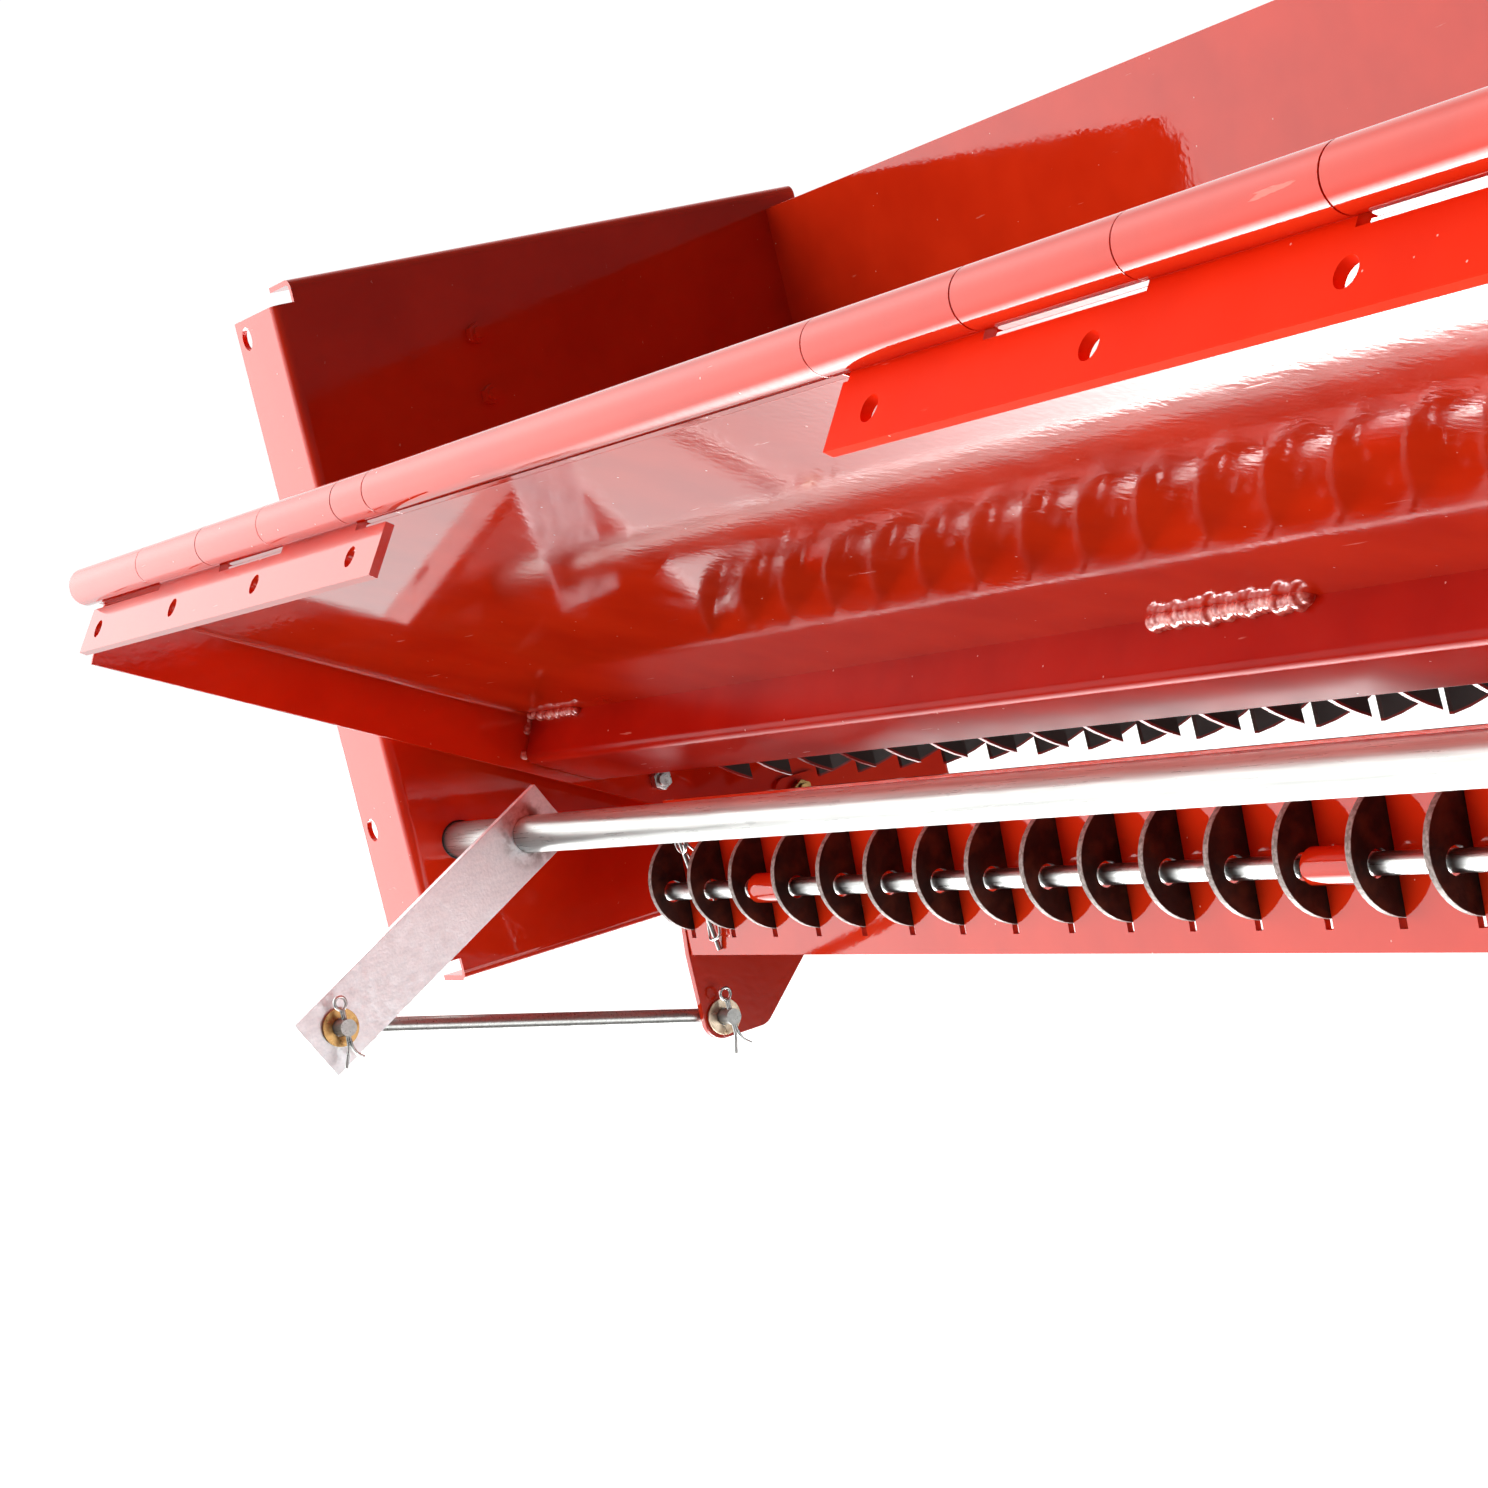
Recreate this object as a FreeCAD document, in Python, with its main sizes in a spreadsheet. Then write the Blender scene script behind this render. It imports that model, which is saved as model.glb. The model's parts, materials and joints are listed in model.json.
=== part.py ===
"""Open-bottomed cross auger with an adjustable slotted comb gate.

Frame: +X to the right along the auger, -Y to the front, +Z up. The origin is the middle of the
bolt pattern in the end plates' front flanges, which is what holds the machine up.
"""
import FreeCAD, Part
import PartDesign, Sketcher
import math
import os
from types import SimpleNamespace
from FreeCAD import Placement, Rotation, Vector

doc = FreeCAD.newDocument("cross_auger")
sheet = doc.addObject("Spreadsheet::Sheet", "Params")

# Driving sizes in millimetres and degrees. Positions are measured from the auger's axis, mid-width.
DRIVING = {
    "auger_back": (390, "auger axis behind the flange face"),
    "auger_drop": (150, "auger axis below the middle flange hole"),
    # end plates
    "half_width": (1103.5, "inner face of an end plate"),
    "plate_thick": (5, "end plate sheet"),
    "flange_width": (95, "front flange"),
    "edge_flange": (45, "bottom, rear and top flanges"),
    "plate_front": (-390, "front face of the front flange"),
    "plate_rear": (215, "rear face of the rear flange"),
    "plate_bottom": (-245, "underside of the bottom flange"),
    "plate_top": (430, "top face of the top flange"),
    "corner_relief": (22, "square relief where flanges meet"),
    "bend_outer": (10, "outer bend radius of the end plates"),
    "flange_hole": (11, "radius of the flange holes"),
    "flange_hole_x": (1182, "flange holes from mid-width"),
    "flange_hole_pitch": (240, "flange holes, one above the other"),
    # front pan and its stiffener
    "pan_slope": (27, "fall of the pan towards the auger, degrees"),
    "pan_y": (-250.9, "crease between pan and stiffener"),
    "pan_z": (-18.6, "crease between pan and stiffener"),
    "pan_sheet": (3, "pan sheet"),
    "pan_half": (1073.5, "outer face of a pan end flange"),
    "pan_front": (426, "pan sheet in front of the crease"),
    "pan_flange": (54, "depth of the pan end flange"),
    "pan_tail": (180, "rear end of the pan end flange, behind the crease"),
    "stiff_wide": (85, "stiffener, along the pan"),
    "stiff_deep": (45, "stiffener, across the pan"),
    "stiff_wall": (4, "stiffener wall"),
    "stiff_corner": (9, "stiffener outer corner radius"),
    "weld_gap": (3, "gap between the stiffener and each pan end flange"),
    # hinge along the pan's front edge
    "hinge_y": (-641.1, "hinge axis"),
    "hinge_z": (193.8, "hinge axis"),
    "tube_radius": (16.85, "one inch pipe, outside"),
    "tube_bore": (13.6, "one inch pipe, inside"),
    "hinge_bore": (10.1, "bore of the hinge knuckles"),
    "hinge_pin": (10, "hinge pin radius"),
    "leaf_lean": (34.2, "leaf, forward of plumb, degrees"),
    "leaf_thick": (7, "leaf bar"),
    "leaf_drop": (59.6, "lower edge of the leaf below the hinge axis"),
    "leaf_free": (19, "upper edge of the leaf between its own knuckles"),
    "leaf_hole": (8, "radius of the leaf holes"),
    "leaf_hole_drop": (40, "leaf holes below the hinge axis"),
    # adjusting linkage
    "adjust_y": (-339.2, "adjusting tube"),
    "adjust_z": (-115.4, "adjusting tube"),
    "pivot_y": (29.0, "comb pivot tube"),
    "pivot_z": (-213.7, "comb pivot tube"),
    "lever_length": (250, "adjusting tube to link pin, and comb pivot to bracket pin"),
    "lever_lean": (207.45, "lever direction about +X from +Y, degrees"),
    "lever_wide": (60, "lever flat bar"),
    "lever_thick": (8, "lever flat bar"),
    "lever_face": (950.5, "inner face of a lever and a bracket"),
    "link_radius": (7.5, "link rod"),
    "link_x": (968, "link rod axis"),
    "link_bend": (9.3, "bend radius of the link rod"),
    "link_end": (930, "free end of the link rod's bent ends"),
    "link_hole": (8, "holes for the link rod"),
    "washer_radius": (17, "link washers"),
    "washer_thick": (3, "link washers"),
    "split_pin": (1.6, "split pin radius"),
    # comb, breaker discs and their rod
    "comb_y": (-210.3, "lower front edge of the comb plate"),
    "comb_z": (-265.0, "lower front edge of the comb plate"),
    "comb_lean": (4.07, "comb plate, top towards the rear, degrees"),
    "comb_tall": (145.2, "comb plate"),
    "comb_thick": (5, "comb plate"),
    "slot_width": (8, "comb slot"),
    "slot_foot": (16, "solid strip below the slots"),
    "slot_head": (20, "solid strip above the slots"),
    "disc_pitch": (75, "discs and slots"),
    "disc_count": (26, "discs and slots"),
    "disc_radius": (47, "breaker disc"),
    "disc_thick": (6, "breaker disc"),
    "disc_hole": (10, "hole of a disc"),
    "disc_reach": (11.1, "disc centre behind the comb's front face"),
    "disc_height": (69.2, "disc centre above the comb's lower edge"),
    "rod_radius": (8, "disc rod"),
    "rod_stand": (13.45, "disc rod in front of the comb's front face"),
    "rod_height": (62.2, "disc rod above the comb's lower edge"),
    "rod_half": (966, "half length of the disc rod"),
    "boss_radius": (13.4, "rod boss"),
    "boss_long": (50, "rod boss"),
    "boss_pitch": (750, "rod bosses"),
    "clip_x": (889.5, "rod clip from mid-width"),
    "clip_wire": (2.3, "rod clip leg radius"),
    "clip_bail": (1.2, "rod clip bail wire radius"),
    "clip_lean": (7, "rod clip, top towards the front, degrees"),
    "clip_low": (-58, "lower tip of the clip's leg from the rod"),
    "clip_high": (45, "eye of the clip from the rod"),
    "clip_side": (10, "bail wires each side of the leg"),
    "clip_eye": (8, "rod clip eye radius"),
    "clip_room": (0.6, "gap between the bail and the back of the rod"),
    "clip_catch": (-46, "where the bail's foot crosses the leg"),
    # auger
    "flight_radius": (146, "auger flight"),
    "flight_thick": (5, "auger flight"),
    "flight_turns": (28, "auger flight"),
    "core_radius": (38, "auger tube"),
    "core_wall": (5, "auger tube"),
    "core_half": (1085, "half length of the auger tube"),
    "notch_width": (70, "cut in each flight turn"),
    "notch_depth": (46, "cut in each flight turn"),
    "shaft_radius": (20, "stub shaft"),
    "shaft_end": (1165, "end of a stub shaft's bearing seat"),
    "drive_radius": (17.5, "plain drive end of the right stub shaft"),
    "drive_end": (1262, "outer end of the drive end"),
    "insert_radius": (31, "bearing insert"),
    "hub_radius": (52, "bearing housing hub"),
    "hub_deep": (40, "bearing housing, off the plate"),
    "housing_side": (130, "bearing housing base"),
    "housing_base": (14, "bearing housing base"),
    "housing_bolts": (102, "bearing housing bolt square"),
    # rear trough
    "trough_radius": (155, "inside of the rear trough"),
    "trough_sheet": (4, "rear trough"),
    "trough_lip": (45, "trough lip below the auger's rear, degrees"),
    "trough_top": (410, "top of the rear trough"),
    "trough_fold": (40, "fold along the top of the trough"),
    # fasteners
    "bolt_radius": (6, "M12"),
    "bolt_head": (10.4, "across corners of an M12 head, half"),
    "bolt_head_high": (7.5, "M12 head"),
    "nut_high": (10, "M12 nut"),
    "spacer_radius": (12.5, "pan spacer"),
    "bush_flange": (21.2, "bush flange"),
    "bush_radius": (18.6, "bush body"),
}

for row, (alias, (number, meaning)) in enumerate(DRIVING.items(), 1):
    sheet.set(f"A{row}", meaning)
    sheet.set(f"B{row}", str(number))
    sheet.setAlias(f"B{row}", alias)
doc.recompute()


class Size:
    """A number that also carries the sheet formula it comes from."""

    def __init__(self, number, formula=None):
        self.number = float(number)
        self.formula = formula or f"({float(number)!r})"

    def joined(self, other, sign, number):
        other = sized(other)
        return Size(number, f"({self.formula} {sign} {other.formula})")

    def __add__(self, other):
        return self.joined(other, "+", self.number + float(other))

    def __sub__(self, other):
        return self.joined(other, "-", self.number - float(other))

    def __mul__(self, other):
        return self.joined(other, "*", self.number * float(other))

    def __truediv__(self, other):
        return self.joined(other, "/", self.number / float(other))

    def __neg__(self):
        return Size(-self.number, f"(0 - {self.formula})")

    def __float__(self):
        return self.number

    __radd__ = __add__
    __rmul__ = __mul__


def sized(value):
    return value if isinstance(value, Size) else Size(value)


S = SimpleNamespace(**{a: Size(v[0], f"Params.{a}") for a, v in DRIVING.items()})
ORIGIN = (Size(0), S.auger_back, -S.auger_drop)
subparts = []


# ---------------------------------------------------------------- small modelling helpers
def vector(values):
    return Vector(*[float(value) for value in values])


def bind(item, path, value):
    item.setExpression(path, sized(value).formula)


def place(item, position=(0, 0, 0), turn=Rotation()):
    """Puts item at a position given from the auger's axis, bound to the sheet."""
    spot = [sized(offset) + start for offset, start in zip(position, ORIGIN)]
    item.Placement = Placement(vector(spot), turn)
    for axis, value in zip("xyz", spot):
        bind(item, f"Placement.Base.{axis}", value)
    return item


def keep(item, label):
    """Marks item as a sub-part, under the name that its file gets."""
    item.Label = label
    subparts.append(item)
    return item


ALONG_X = Rotation(Vector(0, 1, 0), 90)


def cylinder(radius, length, position, turn=ALONG_X):
    item = doc.addObject("Part::Cylinder", "Cylinder")
    bind(item, "Radius", radius)
    bind(item, "Height", length)
    return place(item, position, turn)


def box(long, deep, high, position, turn=Rotation()):
    item = doc.addObject("Part::Box", "Box")
    bind(item, "Length", long)
    bind(item, "Width", deep)
    bind(item, "Height", high)
    return place(item, position, turn)


def hexagon(radius, high, position, turn=ALONG_X):
    item = doc.addObject("Part::Prism", "Hexagon")
    item.Polygon = 6
    bind(item, "Circumradius", radius)
    bind(item, "Height", high)
    return place(item, position, turn)


def cut(base, tool):
    item = doc.addObject("Part::Cut", "Cut")
    item.Base = base
    item.Tool = tool
    return item


def fuse(*items):
    item = doc.addObject("Part::MultiFuse", "Fuse")
    item.Shapes = list(items)
    return item


def group(*items):
    """Several separate solids that make one node."""
    item = doc.addObject("Part::Compound", "Group")
    item.Links = list(items)
    return item


def tube(radius, bore, length, position):
    return cut(cylinder(radius, length, position), cylinder(bore, length, position))


def repeat(source, places):
    """Copies of source's finished shape, moved to each place along X."""
    doc.recompute()
    item = doc.addObject("Part::Feature", "Row")
    copies = [source.Shape.translated(Vector(float(x), 0, 0)) for x in places]
    item.Shape = Part.makeCompound(copies)
    return item


def new_body(name):
    return doc.addObject("PartDesign::Body", name)


def sketch(body, plane, outlines, circles=(), offset=0):
    """Closed outlines and circles on one of body's planes. Every point is bound to the sheet."""
    item = body.newObject("Sketcher::SketchObject", "Sketch")
    support = [f for f in body.Origin.OriginFeatures if f.Role == plane][0]
    item.AttachmentSupport = [(support, "")]
    item.MapMode = "FlatFace"
    bind(item, "AttachmentOffset.Base.z", offset)
    for outline in outlines:
        first = item.GeometryCount
        count = len(outline)
        points = [vector((*point, 0)) for point in outline]
        for i in range(count):
            item.addGeometry(Part.LineSegment(points[i], points[(i + 1) % count]), False)
        for i in range(count):
            following = first + (i + 1) % count
            item.addConstraint(Sketcher.Constraint("Coincident", first + i, 2, following, 1))
        for i, point in enumerate(outline):
            fix_point(item, first + i, 1, point)
    for across, up, radius in circles:
        edge = item.addGeometry(
            Part.Circle(Vector(float(across), float(up), 0), Vector(0, 0, 1), float(radius)), False
        )
        fix_point(item, edge, 3, (across, up))
        number = item.addConstraint(Sketcher.Constraint("Radius", edge, float(radius)))
        bind(item, f"Constraints[{number}]", radius)
    return item


def fix_point(item, edge, end, point):
    for kind, value in zip(("DistanceX", "DistanceY"), point):
        constraint = Sketcher.Constraint(kind, -1, 1, edge, end, float(value))
        number = item.addConstraint(constraint)
        bind(item, f"Constraints[{number}]", value)


def pad(body, plane, outlines, start, length, circles=()):
    """Extrudes outlines from start, towards the positive end of the axis across the plane."""
    start = sized(start)
    against = plane == "XZ_Plane"
    offset = -(start + length) if against else start
    item = body.newObject("PartDesign::Pad", "Pad")
    item.Profile = sketch(body, plane, outlines, circles, offset)
    bind(item, "Length", length)
    body.Tip = item
    doc.recompute()
    return item


def drill(body, plane, circles, outlines=()):
    """Cuts holes right through the body, both ways from the plane."""
    before = body.Shape.Volume
    item = body.newObject("PartDesign::Pocket", "Pocket")
    item.Profile = sketch(body, plane, outlines, circles)
    item.Type = "ThroughAll"
    item.Midplane = True
    body.Tip = item
    doc.recompute()
    if not body.Shape.Volume < before:
        raise RuntimeError(f"{body.Name}: the holes cut nothing")
    return item


def fillet(body, radius, axis, corners):
    """Rounds the edges that run along axis at the given corners, in the body's own frame."""
    doc.recompute()
    tip = body.Tip
    others = [i for i in range(3) if i != "xyz".index(axis)]
    names = []
    for i, edge in enumerate(tip.Shape.Edges, 1):
        ends = [vertex.Point for vertex in edge.Vertexes]
        for corner in corners:
            near = [abs(end[o] - float(c)) < 0.05 for end in ends for o, c in zip(others, corner)]
            if len(ends) == 2 and all(near):
                names.append(f"Edge{i}")
    if not names:
        raise RuntimeError(f"{body.Name}: no edge to round")
    item = body.newObject("PartDesign::Fillet", "Fillet")
    item.Base = (tip, names)
    bind(item, "Radius", radius)
    body.Tip = item
    doc.recompute()
    return item


def rectangle(low, high):
    return [(low[0], low[1]), (high[0], low[1]), (high[0], high[1]), (low[0], high[1])]


class Slant:
    """A frame turned about X, in which slanted pieces are drawn square. Angles are in degrees."""

    def __init__(self, y, z, alias_angle, sign=1, offset=0):
        self.y = y
        self.z = z
        angle = alias_angle * sign + offset
        self.degrees = float(angle)
        turn = math.radians(self.degrees)
        self.cos = Size(math.cos(turn), f"cos({angle.formula} * 1 deg)")
        self.sin = Size(math.sin(turn), f"sin({angle.formula} * 1 deg)")
        self.turn = Rotation(Vector(1, 0, 0), self.degrees)

    def at(self, x, across, up):
        """The position, from the auger's axis, of a point given in this frame."""
        y = self.y + self.cos * across - self.sin * up
        z = self.z + self.sin * across + self.cos * up
        return x, y, z

    def place(self, item):
        return place(item, (0, self.y, self.z), self.turn)


PAN = Slant(S.pan_y, S.pan_z, S.pan_slope, -1)
LEAF = Slant(S.hinge_y, S.hinge_z, S.leaf_lean, -1)
LEVER = Slant(S.adjust_y, S.adjust_z, S.lever_lean)
COMB = Slant(S.comb_y, S.comb_z, S.comb_lean, -1)
PIN_A = LEVER.at(0, S.lever_length, 0)[1:]
CLIP = Slant(*COMB.at(0, -S.rod_stand, S.rod_height)[1:], S.clip_lean)
PIN_C = Slant(S.pivot_y, S.pivot_z, S.lever_lean).at(0, S.lever_length, 0)[1:]
SIDES = {"left": -1, "right": 1}

# Bolts that hold the pan to an end plate, in the pan's frame: one in the flange's tail and one
# inside the stiffener.
PAN_BOLTS = [(Size(144), Size(-30)), (S.stiff_wide / 2, -S.stiff_deep / 2)]
# Two painted bolts in the upper part of each end plate, and the bolt of the pivot hanger.
GRID_BOLTS = [(Size(-195.1), Size(285.9)), (Size(-195.1), Size(345.9))]
HANGER_RISE = Size(52)


# ---------------------------------------------------------------- fasteners along X
def bolt(side, y, z, head_x, nut_x, radius=S.bolt_radius, head=S.bolt_head):
    """A bolt whose head bears on head_x from outside and whose nut bears on nut_x from inside."""
    shank_end = nut_x - S.nut_high - 4
    low = shank_end if side > 0 else -head_x
    shank = cylinder(radius, head_x - shank_end, (low, y, z))
    head_low = head_x if side > 0 else -(head_x + S.bolt_head_high)
    nut_low = nut_x - S.nut_high if side > 0 else -nut_x
    cap = hexagon(head, S.bolt_head_high, (head_low, y, z))
    nut = hexagon(head, S.nut_high, (nut_low, y, z))
    return fuse(shank, cap, nut)


# ---------------------------------------------------------------- end plates
def end_plate(name, side):
    """A sheet with four flanges folded outwards and square reliefs at their corners."""
    body = new_body(f"EndPlate{side + 1}")
    inner = S.half_width * side
    outer = (S.half_width + S.plate_thick) * side
    front_tip = (S.half_width + S.plate_thick + S.flange_width) * side
    edge_tip = (S.half_width + S.plate_thick + S.edge_flange) * side
    front = S.plate_front
    rear = S.plate_rear
    plan = [
        (inner, front), (front_tip, front), (front_tip, front + S.plate_thick),
        (outer, front + S.plate_thick), (outer, rear - S.plate_thick),
        (edge_tip, rear - S.plate_thick), (edge_tip, rear), (inner, rear),
    ]
    low = S.plate_bottom
    high = S.plate_top
    relief = S.corner_relief
    pad(body, "XY_Plane", [plan], low + relief, high - low - relief * 2)
    elevation = [
        (inner, low), (edge_tip, low), (edge_tip, low + S.plate_thick),
        (outer, low + S.plate_thick), (outer, high - S.plate_thick),
        (edge_tip, high - S.plate_thick), (edge_tip, high), (inner, high),
    ]
    pad(body, "XZ_Plane", [elevation], front + relief, rear - front - relief * 2)
    inside_bend = S.bend_outer - S.plate_thick
    fillet(body, S.bend_outer, "z", [(inner, front), (inner, rear)])
    fillet(body, S.bend_outer, "y", [(inner, low), (inner, high)])
    fillet(body, inside_bend, "z", [(outer, front + S.plate_thick), (outer, rear - S.plate_thick)])
    fillet(body, inside_bend, "y", [(outer, low + S.plate_thick), (outer, high - S.plate_thick)])
    half_square = S.housing_bolts / 2
    clearance = S.bolt_radius + 0.5
    holes = [(0, 0, S.insert_radius + 4)]
    holes += [(half_square * i, half_square * j, clearance) for i in (-1, 1) for j in (-1, 1)]
    holes += [(S.adjust_y, S.adjust_z, S.bush_radius), (S.pivot_y, S.pivot_z, S.bush_radius)]
    holes += [(*PAN.at(0, across, up)[1:], clearance) for across, up in PAN_BOLTS]
    holes += [(y, z, clearance) for y, z in GRID_BOLTS]
    holes += [(S.pivot_y, S.pivot_z + HANGER_RISE, clearance)]
    drill(body, "YZ_Plane", holes)
    rows = [S.auger_drop + S.flange_hole_pitch * i for i in (-1, 0, 1)]
    drill(body, "XZ_Plane", [(S.flange_hole_x * side, up, S.flange_hole) for up in rows])
    keep(place(body), name)


# ---------------------------------------------------------------- pan, stiffener and rear trough
def front_pan():
    """The sloping sheet in front of the auger, with its two ends turned down."""
    body = new_body("FrontPan")
    half = S.pan_half
    inside = half - S.pan_sheet
    deep = -S.pan_flange
    section = [
        (-half, deep), (-half, S.pan_sheet), (half, S.pan_sheet), (half, deep),
        (inside, deep), (inside, 0), (-inside, 0), (-inside, deep),
    ]
    pad(body, "XZ_Plane", [section], -S.pan_front, S.pan_front + S.stiff_wide)
    ends = [rectangle((x, deep), (x + S.pan_sheet, Size(-7))) for x in (-half, inside)]
    pad(body, "XZ_Plane", ends, S.stiff_wide, S.pan_tail - S.stiff_wide)
    fillet(body, S.pan_sheet + 3, "y", [(-half, S.pan_sheet), (half, S.pan_sheet)])
    fillet(body, 3, "y", [(-inside, 0), (inside, 0)])
    tail = S.pan_tail
    fillet(body, 14, "x", [(tail, deep)])
    drill(body, "YZ_Plane", [(across, up, S.bolt_radius + 0.5) for across, up in PAN_BOLTS])
    keep(PAN.place(body), "front_pan")


def pan_stiffener():
    """A closed box section under the rear edge of the pan."""
    body = new_body("PanStiffener")
    wide = S.stiff_wide
    deep = -S.stiff_deep
    wall = S.stiff_wall
    inside = S.pan_half - S.pan_sheet - S.weld_gap
    outer = rectangle((Size(0), deep), (wide, Size(0)))
    inner = rectangle((wall, deep + wall), (wide - wall, -wall))
    pad(body, "YZ_Plane", [outer, inner], -inside, inside * 2)
    fillet(body, S.stiff_corner, "x", [(0, deep), (wide, deep)])
    fillet(body, S.stiff_corner - wall, "x", [(wall, deep + wall), (wide - wall, deep + wall)])
    keep(PAN.place(body), "pan_stiffener")


def rear_trough():
    """The curved wall behind the auger, rising to a folded top edge."""
    item = doc.addObject("Part::Feature", "RearTrough")
    inner = float(S.trough_radius)
    outer = inner + float(S.trough_sheet)
    top = float(S.trough_top)
    fold = inner + float(S.trough_fold)
    lip = math.radians(float(S.trough_lip))

    def on_arc(radius, angle):
        return Vector(0, radius * math.cos(angle), -radius * math.sin(angle))

    corners = [
        on_arc(inner, 0), Vector(0, inner, top), Vector(0, fold, top),
        Vector(0, fold, top - float(S.trough_sheet)), Vector(0, outer, top - float(S.trough_sheet)),
        on_arc(outer, 0),
    ]
    edges = [Part.LineSegment(a, b).toShape() for a, b in zip(corners, corners[1:])]
    outside = [on_arc(outer, 0), on_arc(outer, lip / 2), on_arc(outer, lip)]
    inside = [on_arc(inner, lip), on_arc(inner, lip / 2), on_arc(inner, 0)]
    edges.append(Part.Arc(*outside).toShape())
    edges.append(Part.LineSegment(on_arc(outer, lip), on_arc(inner, lip)).toShape())
    edges.append(Part.Arc(*inside).toShape())
    face = Part.Face(Part.Wire(Part.__sortEdges__(edges)))
    item.Shape = face.extrude(Vector(float(S.half_width * 2), 0, 0))
    keep(place(item, (-S.half_width, 0, 0)), "rear_trough")


# ---------------------------------------------------------------- hinge along the pan's front edge
KNUCKLE_GAP = 1
PAN_KNUCKLES = [(-1070, -890), (-746, -611), (-464, -405.6), (-405.6, 200), (345, 480), (627, 765)]
PAN_KNUCKLES += [(905, 1070)]
LEAF_KNUCKLES = {"left": [(-890, -746), (-611, -464)], "right": [(200, 345), (480, 627), (765, 905)]}
LEAF_INSET = 5
LEAF_SPANS = {"left": (-1060, -408.5), "right": (211, 1060)}
LEAF_HOLES = {"left": [-1028, -836.5, -649.5, -458.5], "right": [248, 444, 628, 818, 1008]}


def knuckle(span):
    low = span[0] + KNUCKLE_GAP / 2
    return cylinder(S.tube_radius, span[1] - span[0] - KNUCKLE_GAP, (low, S.hinge_y, S.hinge_z))


def hinge_bore(low, high):
    return cylinder(S.hinge_bore, high - low, (low, S.hinge_y, S.hinge_z))


def pan_hinge_tube():
    """The pan's share of the hinge barrel: knuckles and the plain pipe, each with a weld lip."""
    rings = []
    for low, high in PAN_KNUCKLES:
        lip = box(
            high - low - KNUCKLE_GAP, 8, S.pan_sheet,
            PAN.at(low + KNUCKLE_GAP / 2, -S.pan_front - 8, 0), PAN.turn,
        )
        rings.append(fuse(knuckle((low, high)), lip))
    keep(cut(group(*rings), hinge_bore(-1080, 1080)), "pan_hinge_tube")
    pin = cylinder(S.hinge_pin, 2160, (-1080, S.hinge_y, S.hinge_z))
    keep(pin, "hinge_pin")


def hinge_leaf(name):
    """A drilled flat bar that hangs from its own knuckles."""
    low, high = LEAF_SPANS[name]
    outline = [(Size(low), -S.leaf_drop), (Size(high), -S.leaf_drop), (Size(high), -S.leaf_free)]
    for left, right in reversed(LEAF_KNUCKLES[name]):
        left = Size(max(left + KNUCKLE_GAP / 2, low + LEAF_INSET))
        right = Size(right - KNUCKLE_GAP / 2)
        outline += [(right, -S.leaf_free), (right, Size(0)), (left, Size(0)), (left, -S.leaf_free)]
    outline.append((Size(low), -S.leaf_free))
    body = new_body(f"Leaf{name}")
    holes = [(x, -S.leaf_hole_drop, S.leaf_hole) for x in LEAF_HOLES[name]]
    pad(body, "XZ_Plane", [outline], S.tube_radius - S.leaf_thick, S.leaf_thick, holes)
    LEAF.place(body)
    solid = fuse(body, *[knuckle(span) for span in LEAF_KNUCKLES[name]])
    keep(cut(solid, hinge_bore(low - 20, high + 20)), f"hinge_leaf_{name}")


# ---------------------------------------------------------------- adjusting tube, levers and links
def adjusting_tube():
    half = S.half_width + 22
    for label, y, z in (
        ("adjusting_tube", S.adjust_y, S.adjust_z),
        ("comb_pivot_tube", S.pivot_y, S.pivot_z),
    ):
        keep(tube(S.tube_radius, S.tube_bore, half * 2, (-half, y, z)), label)


def bush(name, side, y, z):
    """A flanged plastic bush pressed into an end plate from outside."""
    inner = S.half_width + 0.5
    outer = S.half_width + S.plate_thick
    low = inner if side > 0 else -(outer + 6)
    barrel = cylinder(S.bush_radius, S.plate_thick + 5.5, (low, y, z))
    lip_low = outer if side > 0 else -(outer + 6)
    lip = cylinder(S.bush_flange, 6, (lip_low, y, z))
    bore = cylinder(S.tube_radius + 0.08, 40, (inner * side - 20, y, z))
    keep(cut(fuse(barrel, lip), bore), name)


def lever(name, side):
    body = new_body(f"Lever{name}")
    half = S.lever_wide / 2
    outline = rectangle((Size(-34), -half), (S.lever_length + 30, half))
    holes = [(0, 0, S.tube_radius), (S.lever_length, 0, S.link_hole)]
    start = S.lever_face if side > 0 else -(S.lever_face + S.lever_thick)
    pad(body, "YZ_Plane", [outline], start, S.lever_thick, holes)
    keep(LEVER.place(body), f"lever_arm_{name}")


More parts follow.
